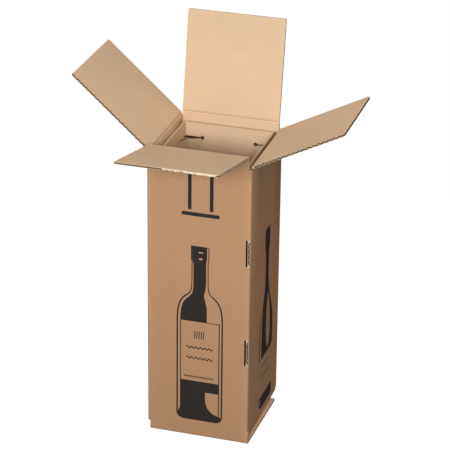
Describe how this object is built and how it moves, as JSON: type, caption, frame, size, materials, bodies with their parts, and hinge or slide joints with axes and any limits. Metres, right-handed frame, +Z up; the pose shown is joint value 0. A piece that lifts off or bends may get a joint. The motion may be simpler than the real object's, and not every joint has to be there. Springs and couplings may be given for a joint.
{
  "type": "bottle shipping box",
  "caption": "Tall corrugated cardboard box for posting a bottle, with full-length top flaps that fold over each other, a closed bottom and a loose inner liner.",
  "frame": {"origin": "middle of the case's footprint on the surface that it stands on", "axes": "+Z up, -Y towards the front wall with the wide print, +X towards the right wall"},
  "size_m": [0.3145, 0.2599, 0.4757],
  "materials": {
    "kraft_case": "uncoated brown kraft liner, matt",
    "kraft_liner": "uncoated brown kraft liner, matt",
    "kraft_flap": "uncoated brown kraft liner, matt",
    "black_print": "matt black one-colour print on kraft"
  },
  "bodies": {
    "case": {"outer_case": "kraft_case", "inner_liner": "kraft_liner"},
    "front_flap": {"front_flap": "kraft_flap"},
    "back_flap": {"back_flap": "kraft_flap"},
    "left_flap": {"left_flap": "kraft_flap"},
    "right_flap": {"right_flap": "kraft_flap"}
  },
  "joints": [
    {"name": "front_crease", "type": "hinge", "parent": "case", "child": "front_flap", "pos_m": [0, -0.0605, 0.3615], "axis": [1, 0, 0], "range_deg": [-167.5, 42.5]},
    {"name": "back_crease", "type": "hinge", "parent": "case", "child": "back_flap", "pos_m": [0, 0.0605, 0.3581], "axis": [-1, 0, 0], "range_deg": [-100, 110]},
    {"name": "left_crease", "type": "hinge", "parent": "case", "child": "left_flap", "pos_m": [-0.0595, 0, 0.3547], "axis": [0, -1, 0], "range_deg": [-138.4, 71.6]},
    {"name": "right_crease", "type": "hinge", "parent": "case", "child": "right_flap", "pos_m": [0.0595, 0, 0.3485], "axis": [0, 1, 0], "range_deg": [-152.8, 57.2]}
  ]
}
